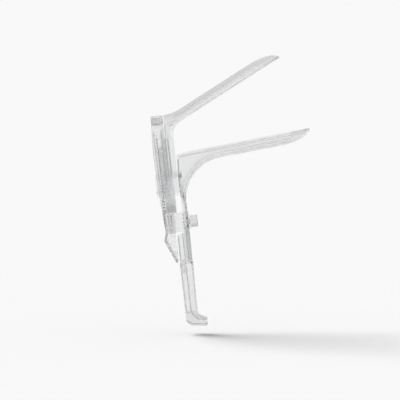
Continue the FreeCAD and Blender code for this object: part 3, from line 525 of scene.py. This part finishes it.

# %% [markdown]
# ## Lines inside the walls
#
# The yoke's posts and the upper blade's cheeks are moulded with cores, and the teeth of a rack bend
# the light like a row of small lenses. Seen from the side, these make the drawn and dotted lines in
# the middle of the object, and small pockets beside the lock make a few short bars. Here they are
# tubes tinted grey as painted shade: the dots in the deeper grey, the bars and core lines in the
# fainter one. All of them lie inside the walls, so that nothing rubs when the yoke slides: they are
# sunk deeper than their own radius. On a dotted one the radius swells once per dot, and on a bar it
# swells unevenly. Dots and bars are laid in the right wall alone, because through clear walls those
# of both sides would blur into one another.

# %% Lines and dots in the yoke and the cheeks
DOT_PITCH = 2.6 * MM
DOT_RADIUS = 0.75 * MM
DOTTED = (1.0, 0.5, 0.05, 0.5)
DOT_STEP = DOT_PITCH / len(DOTTED)
BAR_RADIUS = 0.65 * MM
UNEVEN_BAR = (1.0, 0.6, 0.2, 0.8, 0.5, 0.1, 0.9, 0.9, 0.3)
CORE_RADIUS = 0.4 * MM
IN_WALL = 0.85 * MM
RACK_LINES = (((-11.0, 97), (-11.6, 162)), ((-8.8, 86), (-9.2, 112)),
              ((-12.2, 84), (-12.4, 110)), ((-6.4, 84), (-6.6, 108)))
BARS_FROM = ((-2.8, 82.2), (-2.2, 84.9), (-2.8, 87.4), (-1.6, 90.6), (-2.4, 93.7))
BARS_TO_X = 4.2
POST_LINES = (("post_rear", (-12.9, 118), (-13.9, 166)), ("post_front", (-7.2, 124), (-7.4, 168)))
CHEEK_LINES = (((-4.6, 128), (-5.0, 160)), ((-2.4, 128), (-2.8, 160)))

# Painted shade: the rack dots are tubes in the deeper grey, and the bars and the core lines are tubes in
# the fainter grey.
for number, line in enumerate(RACK_LINES, start=1):
    mould_line("rack_dots_" + str(number), "yoke_frame", "yoke", line, deep_shade_finish, radius=DOT_RADIUS,
               step=DOT_STEP, inside=True, swell=DOTTED, sink=IN_WALL, sides=RIGHT_SIDE)
for x, z in BARS_FROM:
    mould_line("pocket_bars_" + str(round(z)), "yoke_frame", "yoke", [(x, z), (BARS_TO_X, z)],
               faint_shade_finish, radius=BAR_RADIUS, step=DOT_STEP, swell=UNEVEN_BAR, sink=IN_WALL,
               sides=RIGHT_SIDE)
for name, low, high in POST_LINES:
    mould_line(name + "_core", "yoke_frame", "yoke", [low, high], faint_shade_finish,
               radius=CORE_RADIUS, inside=True, sink=IN_WALL)
for line in CHEEK_LINES:
    mould_line("cheek_core_" + str(round(-line[0][0])), "upper_blade", "upper", line, faint_shade_finish,
               radius=CORE_RADIUS, sink=IN_WALL)

# %% [markdown]
# ## The set: camera first
#
# The object is seen almost square from its side, leaning a little. It could be turned itself, but
# then its frame would no longer be the CAD model's. So the lean is a turn of the camera about its own
# line of sight: the camera's up direction leans by the same angle, and the floor follows it. A long
# lens keeps the blades' lengths true.

# %% Camera
LEAN = math.radians(6.1)
CAMERA_HEIGHT = math.radians(3.0)
VIEW_WIDTH = 344 * MM
VIEW_DEPTH = 20.0
AIM = Vector((19.36, 0, 104.3)) * MM
LENS = 200.0
SENSOR = 36.0

image_right = Vector((math.cos(LEAN), 0, -math.sin(LEAN)))
image_up = Vector((math.sin(LEAN), 0, math.cos(LEAN)))
into_scene = Vector((0, 1, 0))
sight = into_scene * math.cos(CAMERA_HEIGHT) - image_up * math.sin(CAMERA_HEIGHT)
camera_up = into_scene * math.sin(CAMERA_HEIGHT) + image_up * math.cos(CAMERA_HEIGHT)


def facing(position, right, up):
    """A placing matrix for something that looks along its own -Z, as cameras and lamps do."""
    back = right.cross(up)
    turn = Matrix((right, up, back)).transposed().to_4x4()
    return Matrix.Translation(position) @ turn


distance = VIEW_WIDTH * LENS / SENSOR
camera = bpy.data.objects.new("camera", bpy.data.cameras.new("camera"))
bpy.context.scene.collection.objects.link(camera)
camera.data.lens = LENS
camera.data.sensor_width = SENSOR
camera.data.clip_end = VIEW_DEPTH
camera.matrix_world = facing(AIM - sight * distance, image_right, camera_up)
bpy.context.scene.camera = camera
print("camera at", [round(v, 3) for v in camera.location])

# %% [markdown]
# ## The floor
#
# The object hangs a little above a pale floor, so that its shadow lies apart from it. White paint
# under the lamp would turn all white and lose the pale shadow. So the floor's paint is a middle grey,
# and it glows a little for the camera: the shadow takes away the lamp's part and leaves the glow.
# Rays that plastic bends or mirrors count as the camera's, so that the plastic shows the same floor.
# Further away the floor fades into the white of the sky, so that no horizon can be seen.

# %% Floor
FLOOR_SIZE = 3.0
FLOOR_BELOW_AIM = 116.2 * MM
FLOOR_GREY = 0.5
FLOOR_GLOW = 0.083
WHITE = 0.945
FADE = (0.35, 0.8)

floor_point = AIM - image_up * FLOOR_BELOW_AIM
bpy.ops.mesh.primitive_plane_add(size=FLOOR_SIZE)
floor = bpy.context.object
floor.name = "floor"
floor.matrix_world = Matrix.Translation(floor_point) @ Matrix.Rotation(LEAN, 4, "Y")


def seen_by_camera(tree):
    """1 for rays from the camera and for rays that plastic bends or mirrors, 0 for the others."""
    path = add(tree, "ShaderNodeLightPath")
    bent = compute(tree, "MAXIMUM", path.outputs["Is Camera Ray"], path.outputs["Is Glossy Ray"])
    return compute(tree, "MAXIMUM", bent, path.outputs["Is Transmission Ray"])


def floor_paint():
    """A matt paint that glows for the camera and fades into plain white with distance."""
    material = bpy.data.materials.new("floor_paint")
    material.use_nodes = True
    tree = material.node_tree
    shader = tree.nodes["Principled BSDF"]
    shader.inputs["Base Color"].default_value = (FLOOR_GREY, FLOOR_GREY, FLOOR_GREY, 1)
    shader.inputs["Roughness"].default_value = 1.0
    shader.inputs["Specular IOR Level"].default_value = 0.0
    shader.inputs["Emission Color"].default_value = (1, 1, 1, 1)
    glow = compute(tree, "MULTIPLY", seen_by_camera(tree), FLOOR_GLOW)
    tree.links.new(glow, shader.inputs["Emission Strength"])
    away = add(tree, "ShaderNodeVectorMath", operation="LENGTH")
    tree.links.new(add(tree, "ShaderNodeTexCoord").outputs["Object"], away.inputs[0])
    backdrop = add(tree, "ShaderNodeEmission", Strength=WHITE)
    blend = add(tree, "ShaderNodeMixShader")
    tree.links.new(remap(tree, away.outputs["Value"], 0.0, 1.0, span=FADE), blend.inputs[0])
    tree.links.new(shader.outputs["BSDF"], blend.inputs[1])
    tree.links.new(backdrop.outputs["Emission"], blend.inputs[2])
    tree.links.new(blend.outputs["Shader"], tree.nodes["Material Output"].inputs["Surface"])
    return material


floor.data.materials.append(floor_paint())
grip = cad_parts["handle_grip"]
foot = min((grip.matrix_world @ vertex.co).dot(image_up) for vertex in grip.data.vertices)
print("floor", round((foot - floor_point.dot(image_up)) / MM, 1), "mm under the foot")

# %% [markdown]
# ## The sky
#
# Clear plastic has no colour of its own, it shows what is round it. On a purely white set it would
# disappear. So the camera sees a plain white sky, but the plastic sees white panels with grey gaps
# between them, and a darker part overhead, as in a photographer's tent. Every edge that bends the
# light then picks up some grey. Straight behind the object stands a white panel, so that a flat wall
# shows the same white as the sky.

# %% Sky
PANELS = 8
PANEL_SPAN = (-0.2, 0.9)
GAP_GREY = 0.5
OVERHEAD = 0.75
OVERHEAD_SPAN = (0.06, 0.5)


def measured_along(tree, direction, axis):
    """How far a direction points along an axis, from -1 to 1."""
    dot = add(tree, "ShaderNodeVectorMath", operation="DOT_PRODUCT")
    tree.links.new(direction, dot.inputs[0])
    dot.inputs[1].default_value = axis
    return dot.outputs["Value"]


def mixed(tree, share, level, other):
    """One level, or the other as the share goes from 0 to 1."""
    mix = add(tree, "ShaderNodeMix", data_type="FLOAT")
    tree.links.new(share, mix.inputs["Factor"])
    tree.links.new(level, mix.inputs["A"])
    mix.inputs["B"].default_value = other
    return mix.outputs["Result"]


def sky():
    """White to the camera; for plastic, white panels with grey gaps, darker overhead."""
    world = bpy.data.worlds.new("studio")
    bpy.context.scene.world = world
    world.use_nodes = True
    tree = world.node_tree
    direction = add(tree, "ShaderNodeTexCoord").outputs["Generated"]
    bearing = compute(tree, "ARCTAN2", measured_along(tree, direction, image_right),
                      measured_along(tree, direction, into_scene))
    ripple = compute(tree, "COSINE", compute(tree, "MULTIPLY", bearing, PANELS))
    panels = remap(tree, ripple, GAP_GREY, WHITE, span=PANEL_SPAN, easing="SMOOTHSTEP")
    rise = remap(tree, measured_along(tree, direction, image_up), 0.0, 1.0,
                 span=OVERHEAD_SPAN, easing="SMOOTHSTEP")
    tent = mixed(tree, rise, panels, OVERHEAD)
    path = add(tree, "ShaderNodeLightPath")
    background = tree.nodes["Background"]
    background.inputs["Color"].default_value = (1, 1, 1, 1)
    strength = mixed(tree, path.outputs["Is Camera Ray"], tent, WHITE)
    tree.links.new(strength, background.inputs["Strength"])


sky()
print("panels round the object:", PANELS)

# %% [markdown]
# ## The lamp
#
# One wide lamp stands high on the left and a little behind the object, so that the shadow starts
# under the foot and falls to the front right. It is a sun with a large angle, which gives the soft
# edge of a big studio light at any distance. Its mirror image would be a bright patch in every wall,
# so the plastic doesn't see it, and the lines in the plastic come from the sky, the floor and the
# grey tubes of painted shade.

# %% Lamp
KEY_ENERGY = 4.0
KEY_ANGLE = math.radians(44)
KEY_DISTANCE = 2.0
TO_THE_RIGHT = 0.75
TO_THE_FRONT = 0.35

key_light = bpy.data.lights.new("key", "SUN")
key_light.energy = KEY_ENERGY
key_light.angle = KEY_ANGLE
key = bpy.data.objects.new("key", key_light)
bpy.context.scene.collection.objects.link(key)
travel = (image_right * TO_THE_RIGHT - into_scene * TO_THE_FRONT - image_up).normalized()
lamp_right = travel.cross(image_up).normalized()
key.matrix_world = facing(AIM - travel * KEY_DISTANCE, lamp_right, lamp_right.cross(travel))
key.visible_glossy = False
key.visible_transmission = False
print("light travels along", [round(v, 2) for v in travel])

# %% [markdown]
# ## Finish
#
# A ray through this object crosses many walls of plastic, and inside a thick wall it is mirrored
# many times before it leaves. With the usual few bounces it would stop on its way and leave a black
# spot, so the three limits for clear plastic are raised. The view transform stays plain, so that
# white is white.

# %% Finish
LAYERS_OF_PLASTIC = 40

bpy.context.scene.view_settings.view_transform = "Standard"
cycles = bpy.context.scene.cycles
cycles.max_bounces = LAYERS_OF_PLASTIC
cycles.transmission_bounces = LAYERS_OF_PLASTIC
cycles.glossy_bounces = LAYERS_OF_PLASTIC
print("bounces through plastic:", cycles.transmission_bounces)
